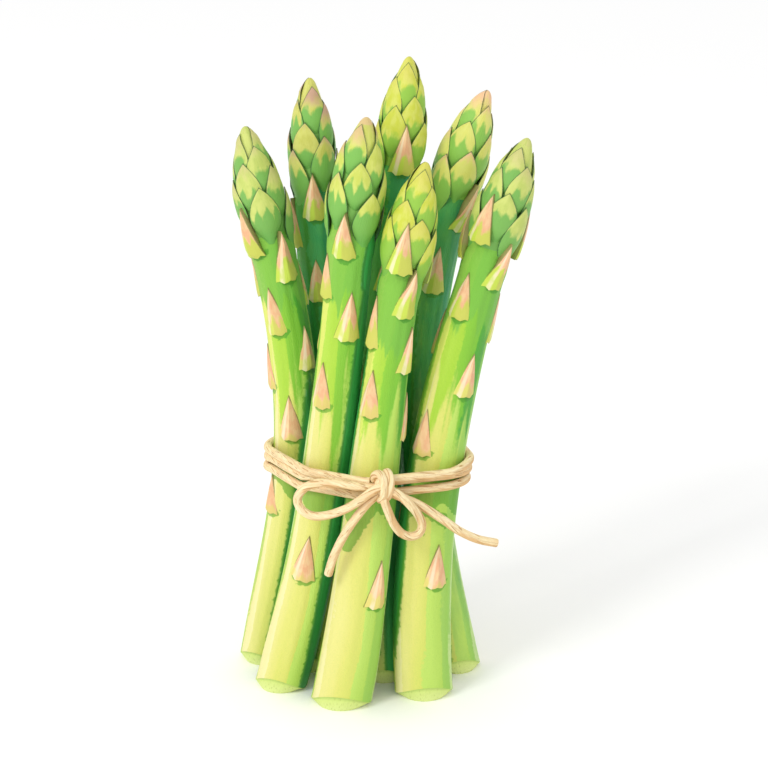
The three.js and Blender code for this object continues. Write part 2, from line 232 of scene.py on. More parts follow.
def spline(points, spacing):
    """Points at an even spacing along the centripetal Catmull-Rom curve through the given ones."""
    points = np.array(points, dtype=float)
    first, last = 2 * points[0] - points[1], 2 * points[-1] - points[-2]
    points = np.concatenate([[first], points, [last]])
    gaps = np.linalg.norm(np.diff(points, axis=0), axis=1)
    knots = np.concatenate([[0], np.cumsum(np.sqrt(gaps))])
    fine = []
    for i in range(1, len(points) - 2):
        t0, t1, t2, t3 = knots[i - 1:i + 3]
        p0, p1, p2, p3 = points[i - 1:i + 3]
        t = np.linspace(t1, t2, FINE_STEPS, endpoint=False)[:, None]
        a1 = (t1 - t) / (t1 - t0) * p0 + (t - t0) / (t1 - t0) * p1
        a2 = (t2 - t) / (t2 - t1) * p1 + (t - t1) / (t2 - t1) * p2
        a3 = (t3 - t) / (t3 - t2) * p2 + (t - t2) / (t3 - t2) * p3
        b1 = (t2 - t) / (t2 - t0) * a1 + (t - t0) / (t2 - t0) * a2
        b2 = (t3 - t) / (t3 - t1) * a2 + (t - t1) / (t3 - t1) * a3
        fine.append((t2 - t) / (t2 - t1) * b1 + (t - t1) / (t2 - t1) * b2)
    fine = np.concatenate(fine + [points[-2:-1]])
    travel = np.concatenate([[0], np.cumsum(np.linalg.norm(np.diff(fine, axis=0), axis=1))])
    steps = np.linspace(0, travel[-1], max(int(round(travel[-1] / spacing)), 2) + 1)
    return np.stack([np.interp(steps, travel, fine[:, k]) for k in range(3)], axis=1), steps


def lay_cord(skin, route, radius=TWINE_RADIUS, spacing=CORD_SPACING, ends=True):
    """A plied cord along a route. Returns the centres of its rings."""
    centres, travel = spline(route, spacing)
    tangents = np.gradient(centres, axis=0)
    tangents /= np.linalg.norm(tangents, axis=1)[:, None]
    normal = np.cross(tangents[0], OFF_ROUTE)
    normals = []
    for tangent in tangents:  # the frame is carried along without twist
        normal = normal - tangent * normal.dot(tangent)
        normal /= np.linalg.norm(normal)
        normals.append(normal)
    normals = np.array(normals)
    binormals = np.cross(tangents, normals)
    turn = np.arange(CORD_SIDES) * 2 * math.pi / CORD_SIDES
    phase = turn[None, :] - PLY_TWIST * travel[:, None]
    reach = radius * (1 - PLY_DEPTH * (1 - np.abs(np.cos(PLIES / 2 * phase)) ** PLY_FULLNESS))
    if ends:  # both ends are cut square, with a soft rim
        reach[[0, -1]] *= CUT_RIM
    out = normals[:, None] * np.cos(turn)[None, :, None] + binormals[:, None] * np.sin(turn)[None, :, None]
    rings = centres[:, None] + reach[..., None] * out
    along = np.broadcast_to(travel[:, None], phase.shape)
    skin.grid(rings, along=along, turn=phase, lit=out @ LIT_SIDE)
    for end, order in ((0, -1), (-1, 1)):
        cap = np.stack([rings[end], np.broadcast_to(centres[end], rings[end].shape)])
        skin.grid(cap[::order], along=travel[end], turn=phase[0])
    return centres


FREE_CORDS = {  # name: route, and what its far end is
    "twine_left_loop": (LEFT_LOOP, "object"),
    "twine_left_tail": (LEFT_TAIL, "bare"),
    "twine_right_loop": (RIGHT_LOOP, "object"),
    "twine_right_tail": (RIGHT_TAIL, "bare"),
}


def strand_route(apart, pinched, over):
    """The line of one strand of the tie, stretched round the outermost spears."""
    route = []
    for angle in np.arange(STRAND_STEPS) * 2 * math.pi / STRAND_STEPS:
        from_knot = min(angle, 2 * math.pi - angle)
        pinch = math.exp(-((from_knot / math.radians(PINCH_SPREAD)) ** 2))
        middle = TIE["height"] + TIE["front"] * math.cos(angle) + TIE["right"] * math.sin(angle)
        height = middle + apart + (pinched - apart) * pinch
        direction = np.array([math.sin(angle), -math.cos(angle)])
        out = TWINE_RADIUS + TWINE_GAP + over * pinch
        supports = [(axis_at(spear, height), outline_radius(spear, height)) for spear in SPEARS.values()]
        axis, radius = max(supports, key=lambda support: support[0] @ direction + support[1])
        route.append([*(axis + direction * (radius + out)), height])
    return route


# ---------------------------------------------------------------- the form of a spear

EASING = (-3, -1.5, 0, 1.5, 3)  # mm up and down the spear over which its corners are rounded


def neck_height(spear):
    return spear["height"] - HEAD_LENGTH


def axis_at(spear, height):
    """Where a spear's axis passes a height: the smooth curve through its five set points."""
    height = np.asarray(height, dtype=float)
    levels = [0, SHIN_HEIGHT, WAIST_HEIGHT, neck_height(spear), spear["height"]]
    point = np.zeros(height.shape + (2,))
    for own, station in enumerate(spear["axis"]):
        share = np.ones(height.shape)
        for i, level in enumerate(levels):
            if i != own:
                share = share * (height - level) / (levels[own] - level)
        point += share[..., None] * np.array(station)
    return point


def outline_radius(spear, height):
    """Radius out to the stem's skin, or to the tops of the head's bracts."""
    foot, waist, neck, head = spear["radii"]
    top = neck_height(spear)
    share, width = np.array(HEAD_OUTLINE).T
    stem = np.interp(height, [0, WAIST_HEIGHT, top], [foot, waist, neck])
    bracts = head * np.interp((height - top) / HEAD_LENGTH, share, width)
    return np.where(np.asarray(height) <= top, stem, bracts)


def core_radius(spear, height):
    """Radius of the stem, or of the bud inside the bracts: it fills the outline again at the bare tip."""
    height = np.asarray(height)
    rise = np.clip((height - neck_height(spear)) / CORE_RISE, 0, 1)
    rise = rise * np.clip((spear["height"] - height) / CORE_FALL, 0, 1)
    return outline_radius(spear, height) * (1 - (1 - CORE_SHARE) * rise)


def eased(radius, spear, height):
    """The mean of a radius over a few mm up and down the spear."""
    return sum(radius(spear, np.asarray(height) + step) for step in EASING) / len(EASING)


def soft_core(spear, height):
    return eased(core_radius, spear, height)


def soft_outline(spear, height):
    return eased(outline_radius, spear, height)


def place(spear, height, angle, reach):
    """Points of a spear: height up its axis, angle round it and reach out from it, square to the axis."""
    height, angle, reach = np.broadcast_arrays(*(np.asarray(v, dtype=float) for v in (height, angle, reach)))
    centre = axis_at(spear, height)
    lean = axis_at(spear, height + 0.5) - axis_at(spear, height - 0.5)
    lean = lean * np.clip(height / LEAN_RISE, 0, 1)[..., None]
    along = np.concatenate([lean, np.ones(height.shape + (1,))], axis=-1)
    along /= np.linalg.norm(along, axis=-1, keepdims=True)
    right = np.array([1.0, 0, 0]) - along * along[..., :1]
    right /= np.linalg.norm(right, axis=-1, keepdims=True)
    back = np.cross(along, right)
    point = np.concatenate([centre, height[..., None]], axis=-1)
    return point + right * (reach * np.sin(angle))[..., None] - back * (reach * np.cos(angle))[..., None]


def is_clear(own, point):
    """True where a point of one spear keeps clear of all the others and of their scales."""
    for name, other in SPEARS.items():
        if name != own and point[2] <= other["height"]:
            distance = np.linalg.norm(axis_at(other, point[2]) - point[:2])
            if distance <= outline_radius(other, point[2]) + SCALE["lift"] + TWINE_GAP:
                return False
    return True


# ---------------------------------------------------------------- materials


def linear(colour):
    """A colour such as "#8cc63f", for a shader."""
    values = [int(colour[i:i + 2], 16) / 255 for i in (1, 3, 5)]
    return [v / 12.92 if v <= 0.04045 else ((v + 0.055) / 1.055) ** 2.4 for v in values] + [1]


class Material:
    """A node material under construction: each call adds a node and returns its output."""

    def __init__(self, name, roughness, specular=0.4):
        self.data = bpy.data.materials.new(name)
        self.data.use_nodes = True
        self.tree = self.data.node_tree
        self.shader = self.tree.nodes["Principled BSDF"]
        self.shader.inputs["Roughness"].default_value = roughness
        self.shader.inputs["Specular IOR Level"].default_value = specular

    def node(self, kind, inputs=(), output=0, **settings):
        node = self.tree.nodes.new(kind)
        for name, value in settings.items():
            setattr(node, name, value)
        for key, value in dict(inputs).items():
            self.feed(node.inputs[key], value)
        return node.outputs[output]

    def feed(self, socket, value):
        if isinstance(value, bpy.types.NodeSocket):
            self.tree.links.new(value, socket)
        else:
            socket.default_value = linear(value) if isinstance(value, str) else value

    def fact(self, name):
        return self.node("ShaderNodeAttribute", output="Fac", attribute_name=name)

    def facts(self, *names):
        return [self.fact(name) for name in names]

    def math(self, operation, *values, clamp=False):
        return self.node("ShaderNodeMath", dict(enumerate(values)), operation=operation, use_clamp=clamp)

    def times(self, a, b):
        return self.math("MULTIPLY", a, b)

    def times_plus(self, a, b, c, clamp=False):
        return self.math("MULTIPLY_ADD", a, b, c, clamp=clamp)

    def swayed(self, value, noise, amount, clamp=False):
        """A value that a noise between 0 and 1 moves up and down by half the amount."""
        return self.times_plus(self.math("SUBTRACT", noise, 0.5), amount, value, clamp)

    def mapped(self, value, low, high, to_low=0.0, to_high=1.0):
        inputs = {"Value": value, "From Min": low, "From Max": high, "To Min": to_low, "To Max": to_high}
        return self.node("ShaderNodeMapRange", inputs, interpolation_type="SMOOTHSTEP")

    def vector(self, x, y, z):
        return self.node("ShaderNodeCombineXYZ", {0: x, 1: y, 2: z})

    def noise(self, vector, scale, detail, roughness=0.5):
        inputs = {"Vector": vector, "Scale": scale, "Detail": detail, "Roughness": roughness}
        return self.node("ShaderNodeTexNoise", inputs, output="Fac")

    def mix(self, factor, a, b, blend="MIX"):
        node = self.tree.nodes.new("ShaderNodeMix")
        node.data_type, node.blend_type = "RGBA", blend
        for socket, value in ((0, factor), (6, a), (7, b)):
            self.feed(node.inputs[socket], value)
        return node.outputs[2]

    def ramp(self, value, stops):
        node = self.tree.nodes.new("ShaderNodeValToRGB")
        elements = node.color_ramp.elements
        while len(elements) < len(stops):
            elements.new(0.5)
        for element, (position, colour) in zip(elements, stops):
            element.position, element.color = position, linear(colour)
        self.feed(node.inputs[0], value)
        return node.outputs[0]

    def bump(self, height, distance, strength):
        inputs = {"Height": height, "Distance": distance, "Strength": strength}
        self.tree.links.new(self.node("ShaderNodeBump", inputs), self.shader.inputs["Normal"])

    def finish(self, colour, roughness=None):
        self.feed(self.shader.inputs["Base Color"], colour)
        if roughness is not None:
            self.feed(self.shader.inputs["Roughness"], roughness)
        return self.data


# On each half of the girth: a pale painted highlight band on the left, darker painted shade bands to the
# right and a pale painted reflection strip at the right edge. The high and low sets are greener above and
# paler below; the deep set is painted shade.
STEM_SHADING_BANDS = {  # colours across half the stem's girth, from left to right: [share, colour]
    "high": [[0, "#7cb83c"], [0.08, "#90c63e"], [0.1, "#d8e06c"], [0.23, "#dce470"], [0.245, "#b4d84c"],
             [0.43, "#a8d040"], [0.445, "#8cc63c"], [0.68, "#7cbe3a"], [0.695, "#58aa3a"], [0.87, "#52a43a"],
             [0.885, "#88c456"], [1, "#94cc5c"]],
    "low": [[0, "#a0c850"], [0.07, "#c0d460"], [0.085, "#ece49a"], [0.2, "#f0e8ac"], [0.215, "#e6e08c"],
            [0.37, "#dedc78"], [0.51, "#d4da6a"], [0.525, "#c0de6a"], [0.72, "#b6d85e"], [0.735, "#a4d05c"],
            [0.87, "#9ccc58"], [0.885, "#c4de8c"], [1, "#c6e294"]],
    "deep": [[0, "#4aa04e"], [0.12, "#52a850"], [0.135, "#66ba52"], [0.36, "#5cb254"], [0.375, "#42a25c"],
             [0.61, "#369a60"], [0.625, "#2a8e64"], [0.87, "#268668"], [0.885, "#3c9e5e"], [1, "#48a858"]],
}
PALE_TO_GREEN = (96.5, 110.5)  # mean heights over which the high bands take over
# The teal, veil and shade greens paint shade: between facing stems, and under the scales, the tie and the
# bow. The wash and grain greens are the stem's own.
STEM_GREENS = dict(wash="#7aba46", crowd_shade="#3ccc94", veil="#9cc878", shade="#64b048", grain="#5fae3a")


def stem_material():
    """The skin of the stems: broad bands up the spear of painted highlight and painted shade, greener above
    and paler below.
    """
    m = Material("asparagus_skin", 0.5, 0.25)
    sine, cosine, height, inner_shade, tone = m.facts("sine", "cosine", "height", "inner_shade", "tone")

    def noise(pace, scale, detail, roughness=0.5, right=0.0, front=0.0):
        """Noise round the stem. Its pace up the stem, per mm, draws it out. The tone, which differs from
        spear to spear, carries it to the right or to the front."""
        x, y = m.times_plus(tone, right, sine), m.times_plus(tone, front, cosine)
        return m.noise(m.vector(x, y, m.times(height, pace)), scale, detail, roughness)

    wander = noise(0.012, 1.4, 2.0, right=7.0)
    ragged = noise(0.09, 9.0, 3.0)
    fingers = noise(0.008, 2.6, 2.0, front=9.0)
    grain = noise(0.35, 22.0, 4.0, 0.6)

    # the bands of painted highlight and shade: they wander as they go up, and their borders are a little
    # ragged
    share = m.times_plus(m.math("ARCTAN2", sine, cosine), 1 / math.pi, 0.5)
    share = m.math("FRACT", m.swayed(m.swayed(share, wander, 0.34), ragged, 0.06))
    low = m.mapped(m.swayed(m.swayed(height, fingers, 90.0), ragged, 9.0), *PALE_TO_GREEN, 1.0, 0.0)
    colour = m.mix(low, m.ramp(share, STEM_SHADING_BANDS["high"]), m.ramp(share, STEM_SHADING_BANDS["low"]))

    # the green wash under the head, which comes down in fingers
    wash = m.swayed(m.swayed(m.fact("wash"), fingers, 1.5), ragged, 0.16)
    colour = m.mix(m.mapped(wash, 0.4, 0.56, 0.0, 0.85), colour, STEM_GREENS["wash"])

    # painted shade: the dark green of the spears behind, and bright teal where stems face each other
    deep = m.swayed(inner_shade, noise(0.05, 2.2, 3.0), 0.4, clamp=True)
    crowd_shade = m.mapped(inner_shade, 0.75, 1.15, 0.0, 0.85)
    inner_shade_colour = m.mix(crowd_shade, m.ramp(share, STEM_SHADING_BANDS["deep"]), STEM_GREENS["crowd_shade"])
    colour = m.mix(m.mapped(deep, 0.15, 0.85), colour, inner_shade_colour)

    # the painted shade under the scales, the tie and the bow
    shade = m.swayed(m.fact("shade"), noise(0.16, 4.0, 3.0, right=5.0), 0.5)
    veiled = m.mix(0.8, colour, STEM_GREENS["veil"], blend="MULTIPLY")
    colour = m.mix(m.mapped(shade, 0.47, 0.56), colour, m.mix(0.3, veiled, STEM_GREENS["shade"]))

    colour = m.mix(m.mapped(grain, 0.45, 0.75, 0.0, 0.22), colour, STEM_GREENS["grain"])
    m.bump(noise(0.02, 30.0, 3.0), 0.0004, 0.5)
    return m.finish(colour, m.mapped(grain, 0.3, 0.8, 0.42, 0.58))


FLESH = [[0, "#f0f4c4"], [0.55, "#eaf2b0"], [0.8, "#e2ee9c"], [0.95, "#d6e688"], [1, "#b0cc64"]]


def cut_material():
    """The cut butt: pale flesh, greener towards the skin, with the dots of cut fibres."""
    m = Material("asparagus_cut", 0.62, 0.3)
    reach, sine, cosine, tone = m.facts("reach", "sine", "cosine", "tone")
    spot = m.vector(m.times(sine, reach), m.times(cosine, reach), tone)
    cells = m.node("ShaderNodeTexVoronoi", {"Vector": spot, "Scale": 11.0}, output="Distance")
    colour = m.mix(m.mapped(cells, 0.12, 0.3, 0.45, 0.0), m.ramp(reach, FLESH), "#a8b85c")
    speckle = m.noise(spot, 26.0, 4.0)
    colour = m.mix(m.mapped(speckle, 0.5, 0.75, 0.0, 0.3), colour, "#b4c464")
    m.bump(m.math("ADD", cells, speckle), 0.0003, 0.6)
    return m.finish(colour)


def finish_blade(m, colour, spot, line_colour, line_width, line_strength):
    """A dark line along a blade's edges and over its inner face, painted as shade in the creases round it,
    and fine veins up it.
    """
    across, along, brink, chance = m.facts("across", "along", "brink", "chance")
    ragged = m.noise(spot, 9.0, 2.0)
    # painted shade in the creases: dark near the edges and on the inner face
    line = m.mapped(m.times_plus(ragged, 0.3, brink), 0.26, line_width, line_strength, 0.0)
    veins = m.noise(m.vector(m.times(across, 9.0), along, chance), 3.0, 3.0)
    m.bump(veins, 0.0003, 0.5)
    return m.finish(m.mix(line, colour, line_colour))


# The bases' green is partly the bracts' own colour and partly painted shade under the bracts that overlap
# them.
HEAD_PALETTES = {  # of a head's bracts: tops, bases, tips, and how far the tips' colour comes down
    "green": dict(top="#bccb66", base="#78b152", tip="#cdbf86", blush=0.6),
    "olive": dict(top="#c6d05a", base="#7ab650", tip="#dab488", blush=0.8),
    "yellow": dict(top="#c9d044", base="#91c144", tip="#d8cc66", blush=0.5),
    "mauve": dict(top="#c6c65e", base="#7ab654", tip="#c8a086", blush=1.0),
    "peach": dict(top="#dcdc6e", base="#8ec454", tip="#eec294", blush=1.0),
}


def bract_material(palette, colours):
    """The overlapping bracts of a head: light above, green below with a dripping border (their own colour,
    and painted shade under the bracts over them), painted shade at the root, and a dark rim.
    """
    m = Material("asparagus_head_" + palette, 0.5)
    across, along, drip, chance = m.facts("across", "along", "drip", "chance")
    spot = m.vector(m.times(across, 1.3), m.times(along, 3.0), m.times(chance, 40.0))
    cloud = m.noise(spot, 1.6, 3.0)
    top = m.mix(m.mapped(cloud, 0.35, 0.65, 0.0, 0.35), colours["top"], "#e2e488")
    colour = m.mix(m.mapped(m.swayed(drip, cloud, 0.3), -0.05, 0.06), colours["base"], top)
    # painted shade: darker green at the root, which lies under the tips of the bracts below
    root = m.mapped(m.times_plus(cloud, 0.2, along), 0.12, 0.45, 0.5, 0.0)
    colour = m.mix(root, colour, "#5aa846")
    high = m.times_plus(chance, 0.25, m.times_plus(cloud, 0.35, along))
    colour = m.mix(m.mapped(high, 1.0, 1.3, 0.0, colours["blush"]), colour, colours["tip"])
    return finish_blade(m, colour, spot, "#2e5a3a", 0.44, 0.9)


GREEN_TO_TAN = (150, 95)  # heights over which, going down, the scales' bases turn tan


def scale_material():
    """The triangular scales of a stem: peach tips over yellow-green bases, with a painted highlight left of
    the ridge and painted shade on its right.
    """
    m = Material("asparagus_scale", 0.55)
    across, along, drip, chance, height = m.facts("across", "along", "drip", "chance", "height")
    spot = m.vector(m.times(across, 1.1), m.times(along, 2.2), m.times(chance, 40.0))
    cloud = m.noise(spot, 1.8, 3.0)
    lower = m.mapped(height, *GREEN_TO_TAN)
    peach = m.mix(m.mapped(cloud, 0.35, 0.65), "#f6d2a0", "#f0b68c")
    base = m.mix(lower, "#c4d84e", "#e4d478")
    border = m.times_plus(lower, 0.22, m.swayed(drip, cloud, 0.5))
    colour = m.mix(m.mapped(border, -0.06, 0.1), base, peach)
    # painted shade on the right facet, and a painted highlight strip on the left one
    painted_shade_side = m.mapped(across, -0.06, 0.06, 0.0, 0.26)
    colour = m.mix(painted_shade_side, colour, "#c89868")
    painted_highlight = m.times(m.mapped(across, -0.68, -0.55), m.mapped(across, -0.28, -0.4))
    painted_highlight = m.times(painted_highlight, m.mapped(cloud, 0.3, 0.6, 0.25, 0.7))
    colour = m.mix(painted_highlight, colour, "#fbeccc")
    return finish_blade(m, colour, spot, "#6b7a34", 0.55, 0.8)


FIBRES = [[0.25, "#e8cc94"], [0.45, "#f2dcaa"], [0.6, "#f7e7be"], [0.8, "#fbf2d6"]]
# The under and groove tans are painted shade.
TWINE_TANS = dict(cast="#ecc292", under="#d8a86c", stroke="#b07c44", groove="#cf9a62")


def twine_material():
    """Natural twine: cream with a peach cast, a painted tan shade on its lower side and in the grooves
    between the plies, with brown strokes along the fibres.
    """
    m = Material("twine_fibre", 0.8, 0.25)
    along, turn, lit = m.facts("along", "turn", "lit")
    sine, cosine = m.math("SINE", turn), m.math("COSINE", turn)

    def noise(pace, scale, detail, roughness=0.5):
        """Noise round the twine, drawn out by its pace along it, per mm."""
        return m.noise(m.vector(sine, cosine, m.times(along, pace)), scale, detail, roughness)

    fibre = noise(0.1, 5.0, 4.0, 0.6)
    cast = noise(0.06, 1.1, 2.0)
    colour = m.mix(m.mapped(cast, 0.45, 0.62, 0.0, 0.5), m.ramp(fibre, FIBRES), TWINE_TANS["cast"])
    # painted shade: tan on the side turned away from the painted light
    under = m.times_plus(cast, 0.9, m.times(lit, -0.6))
    colour = m.mix(m.mapped(under, 0.42, 0.62, 0.0, 0.6), colour, TWINE_TANS["under"])
    stroke = m.mapped(noise(0.05, 3.4, 1.0), 0.58, 0.62, 0.0, 0.7)
    part = m.mapped(noise(0.16, 1.6, 1.0), 0.46, 0.52)
    colour = m.mix(m.times(stroke, part), colour, TWINE_TANS["stroke"])
    # painted shade in the grooves between the plies
    ply = m.math("ABSOLUTE", m.math("COSINE", m.times(turn, PLIES / 2)))
    colour = m.mix(m.mapped(ply, 0.22, 0.02, 0.0, 0.3), colour, TWINE_TANS["groove"])
    m.bump(fibre, 0.0004, 0.6)
    return m.finish(colour)


# ---------------------------------------------------------------- spears

STEM_SIDES = 96
SKIN, CUT, SCALES, HEAD = range(4)
SPEAR_FACTS = [
    "sine", "cosine", "height", "inner_shade", "wash", "shade", "tone",
    "reach", "across", "along", "drip", "brink", "chance",
]

# The painted shade on a stem, in mm.
# Under a scale: how far right it lies, its half width as a share of the scale's width, how far above the
# scale's base it starts and how far below it drops, and how steeply it ends at the corners.
# Under the tie: how far it drops from the tie's middle, and the height and number of its border's waves.
# Under the bow: how far right and down it falls, its half width, how far behind the cord it falls in full
# and how fast it fades beyond that, the spacing of the points on the cord that cast it, the y of the front
# stems, how far behind that no shade is left, and a loss wider than the shade.
SHADE_SPAN = 4  # from the open skin, past the border, to full shade
SCALE_SHADE = dict(right=0.8, half=0.46, above=1.2, drop=2.6, corner=4)
TIE_SHADE = dict(drop=12, wave=3, waves=3)
BOW_SHADE = dict(right=1.6, down=4.5, half=2.2, full=9, fade=4, spacing=1.5, front=-8, behind=8, loss=9)
TAIL_POINTS = 6  # the first points of a tail's route, which run close enough to the stems to shade them

# The painted shade where stems face each other:
FACING_AHEAD = 3  # the gap to a neighbour is taken from this far in front of the skin
FACING_REACH = 5  # the gap within which a neighbour counts
FACING_FADE = 12  # a neighbour counts from this far below its tip, and in full from twice as far


def shade_of(points, heights, angle, spear, blades):
    """How deep a stem's skin lies in the shade under its scales, the tie and the bow: 0.5 at the border."""
    depth = np.full(points.shape[:2], -SHADE_SPAN / 2)  # mm inside the border
    for blade in blades:
        turn = (angle - blade["angle"] + math.pi) % (2 * math.pi) - math.pi
        side = (turn * spear["radii"][1] - SCALE_SHADE["right"]) / (SCALE_SHADE["half"] * blade["width"])
        over_hem = heights - blade["base"] + SCALE_SHADE["drop"] * (1 - side ** 2)
        below_top = blade["base"] + SCALE_SHADE["above"] - heights
        in_from_side = SCALE_SHADE["corner"] * (1 - np.abs(side))
        depth = np.maximum(depth, np.minimum(np.minimum(over_hem, below_top), in_from_side))
    phase = heights[0, 0] + spear["radii"][0]  # so that each spear's border waves in its own way
    wave = TIE_SHADE["wave"] * np.sin(TIE_SHADE["waves"] * angle + phase)
    under_tie = heights - TIE["height"] + TIE_SHADE["drop"] + wave
    depth = np.maximum(depth, np.where(heights < TIE["height"], under_tie, depth))
    at_back = BOW_SHADE["loss"] * smooth((points[..., 1] - BOW_SHADE["front"]) / BOW_SHADE["behind"])
    for route in (LEFT_LOOP, LEFT_TAIL[:TAIL_POINTS], RIGHT_LOOP, RIGHT_TAIL[:TAIL_POINTS]):
        nearest = np.full(depth.shape, np.inf)
        for x, y, z in spline(route, BOW_SHADE["spacing"])[0]:
            away = np.hypot(points[..., 0] - x - BOW_SHADE["right"], points[..., 2] - z + BOW_SHADE["down"])
            behind = np.maximum(points[..., 1] - y - BOW_SHADE["full"], 0)
            nearest = np.minimum(nearest, away + BOW_SHADE["fade"] * behind)
        depth = np.maximum(depth, BOW_SHADE["half"] - nearest - at_back)
    return np.clip(0.5 + depth / SHADE_SPAN, 0, 1)


def crowding_of(points, angle, spear):
    """How closely a stem's skin faces its neighbours: 0 in the open, 1 where they touch. It sets the painted
    shade between stems.
    """
    height = points[..., 2]
    ahead = points[..., :2] + FACING_AHEAD * np.stack([np.sin(angle), -np.cos(angle)], axis=-1)
    crowding = np.zeros(height.shape)
    for other in SPEARS.values():
        if other is not spear:
            gap = np.linalg.norm(ahead - axis_at(other, height), axis=-1) - outline_radius(other, height)
            below_tip = smooth((other["height"] - FACING_FADE - height) / FACING_FADE)
            crowding = np.maximum(crowding, smooth(1 - gap / FACING_REACH) * below_tip)
    return crowding


RIM_START = 0.97  # share of the rim's height where the skin begins, just inside the cut's edge
SOLE_HOLLOW = 0.12  # how far the sole is hollowed in the middle
LEVEL_FROM = 20  # the stem's rings follow the slanting rim below this height, and are level above it
STEM_ROWS = 130
BUTT_ROWS = np.concatenate([[0, 0.015, 0.04], np.linspace(0.08, 1, 12)])[:, None]
RIM_ROUNDING = np.array([0.05, 0.02, 0])[:, None]  # mm that the first rings are drawn in
TURN_OUT = 0.6  # degrees that the cut turns outward for each mm that the foot stands to one side
BUD_START = 7  # above the neck, where the stem's skin gives way to the head's
BUD_SWELL = 0.8  # that the bud is fuller between the bracts, so that no gap shows through them
TIP_GAP = 0.3  # between the bud's tip and the spear's height
TIP_ROWS = np.array([2, 1.6, 1.2, 0.8, 0.4, 0.15, 0.04, 0])[:, None]  # mm below the bud's tip
NO_EDGE = 9  # a brink too far away to be seen


def relief(heights, angle, tone):
    """Fine flutes up the stem and soft swellings, in mm."""
    flutes = 0.1 * np.cos(9 * angle + 2 * np.sin(heights / 40)) + 0.06 * np.cos(17 * angle + heights / 60)
    knobs = 0.12 * np.sin(heights / 13 + 3 * tone) + 0.09 * np.cos(2 * angle + heights / 21)
    return flutes + knobs


def lay_butt(skin, spear, angle, rim, facts):
    """The trimmed butt: from the middle of its sole up the slanting cut to the rim."""
    foot = spear["radii"][0]
    shares = np.array([0.02, 0.3, 0.6, 0.85, 0.97])[:, None]
    rise = np.array([0, 0.06, 0.3, 0.6, 0.9, 0.97])[:, None]
    sole = np.broadcast_to(SOLE_HOLLOW * (1 - shares), (len(shares), STEM_SIDES))
    heights = np.concatenate([sole, rise ** 1.15 * rim])
    reach = np.concatenate([shares * (foot - SOLE_INSET), foot - SOLE_INSET * (1 - rise) ** 1.1])
    skin.grid(place(spear, heights, angle, reach), CUT, reach=reach / foot, **facts)


def lay_stem(skin, spear, tone, blades):
    """The stem and the bud in one skin, on the trimmed butt."""
    angle = np.arange(STEM_SIDES) * 2 * math.pi / STEM_SIDES
    facing = math.radians(TURN_OUT * spear["axis"][0][0])
    rim = RIM_HEIGHT + TRIM_HEIGHT * np.maximum(0, np.cos(angle - facing)) ** TRIM_POWER
    facts = dict(sine=np.sin(angle), cosine=np.cos(angle), tone=tone)
    lay_butt(skin, spear, angle, rim, facts)

    neck, top = neck_height(spear), spear["height"] - TIP_GAP
    slanting = RIM_START * rim + BUTT_ROWS * (LEVEL_FROM - RIM_START * rim)
    level = np.linspace(LEVEL_FROM, top - TIP_ROWS[0, 0], STEM_ROWS)[1:, None]
    heights = np.concatenate([slanting, np.broadcast_to(level, (STEM_ROWS - 1, STEM_SIDES))])
    swell = smooth((heights - neck - 5) / 6) * smooth((top - 3 - heights) / 9)
    radius = soft_core(spear, heights) + BUD_SWELL * swell
    radius[:len(RIM_ROUNDING)] = spear["radii"][0] - RIM_ROUNDING
    fade = smooth((heights - rim) / 12) * smooth((neck - heights) / 10)
    points = place(spear, heights, angle, radius + relief(heights, angle, tone) * fade)

    # the painted shade on the spears behind is strongest in front and above the tie; where stems face each
    # other it goes past that into a painted teal shade, and the painted shade under things deepens too
    crowding = crowding_of(points, angle, spear)
    front = smooth(np.cos(angle) / 0.9 + 0.6)
    inner_shade = spear["inner_shade"] * (0.45 + 0.55 * smooth(heights / 90)) * (0.1 + 0.9 * front)
    shade = shade_of(points, heights, angle, spear, blades)
    paint = dict(
        height=heights,
        inner_shade=np.maximum(inner_shade, 1.3 * crowding),
        wash=smooth((heights - neck + 32) / 28),
        shade=np.maximum(shade, np.minimum(0.36 + 0.5 * crowding, 0.7)),
    )
    bud = int(np.argmax(heights[:, 0] > neck + BUD_START))
    facts.update((name, values[:bud + 1]) for name, values in paint.items())
    skin.grid(points[:bud + 1], SKIN, **facts)

    share = ((heights - neck) / HEAD_LENGTH)[bud:]
    facts = dict(brink=NO_EDGE, chance=tone, across=np.sin(angle))
    skin.grid(points[bud:], HEAD, along=0.2 + 0.8 * share ** 2, drip=share - 0.75, **facts)
    depth = TIP_ROWS[0, 0]
    reach = soft_core(spear, top - depth) * np.sqrt(TIP_ROWS / depth) + 0.02
    skin.grid(place(spear, top - TIP_ROWS, angle, reach), HEAD, along=1, drip=0.25, **facts)


TIP_ROUNDING = 2.6  # the blades draw in over this height below the spear's tip
TIP_THINNING = 9  # and grow thinner over this one
WIDEST_WRAP = 1.4  # radians to each side, at most, that a blade wraps round its spear
SUNK = 0.3  # mm that a solid blade's inner face lies under the stem's skin
STOP_EASING = (-0.07, -0.035, 0, 0.035, 0.07)  # shares of a blade's length over which its stops are rounded
EDGE_LIFT = 0.2  # of a scale's edges off the stem, where its room is checked
SCATTER = dict(turn=4, length=0.08, bract=0.06)  # degrees between scales, and shares of a blade's size

# A blade's profile. v goes from 0 at its root to 1 at its point, and u from -1 to 1 across it.
# rows and columns: where its points lie along and across. start: the waves of its hem, in its lengths.
# half: half its width, as a share of the widest. seat: the radius that it sits on. lift: its relief in mm.
# ridge and edge: the share of the relief along its middle and its edges. arch: the curve between the two.
# border: where its upper colour begins. thick: of the shell. slim: the least radius that it wraps round.
# sharp: how far it thins to its point. inner: the brink of its inner face. solid: a wedge, or else a shell.


